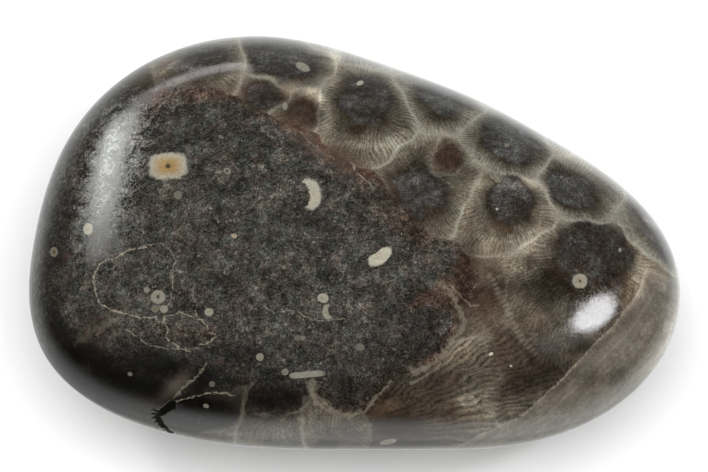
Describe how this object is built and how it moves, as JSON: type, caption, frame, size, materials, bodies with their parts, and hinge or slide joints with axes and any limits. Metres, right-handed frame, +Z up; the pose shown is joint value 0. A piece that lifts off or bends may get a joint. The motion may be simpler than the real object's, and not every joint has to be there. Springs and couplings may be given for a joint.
{
  "type": "polished fossil coral stone",
  "caption": "Smooth hand-sized pebble cut from a fossil colonial coral head, with cell pattern and dark matrix, resting on a small flat.",
  "frame": {"origin": "centre of the stone's footprint box, on the surface it rests on", "axes": "+X from the broad end to the narrow end, +Y to the back, +Z up through the domed crown"},
  "size_m": [0.0756, 0.0538, 0.026],
  "materials": {
    "polished_fossil_limestone": "polished dark grey-brown fossil limestone"
  },
  "bodies": {
    "root": {"fossil_coral_stone": "polished_fossil_limestone"}
  },
  "joints": []
}
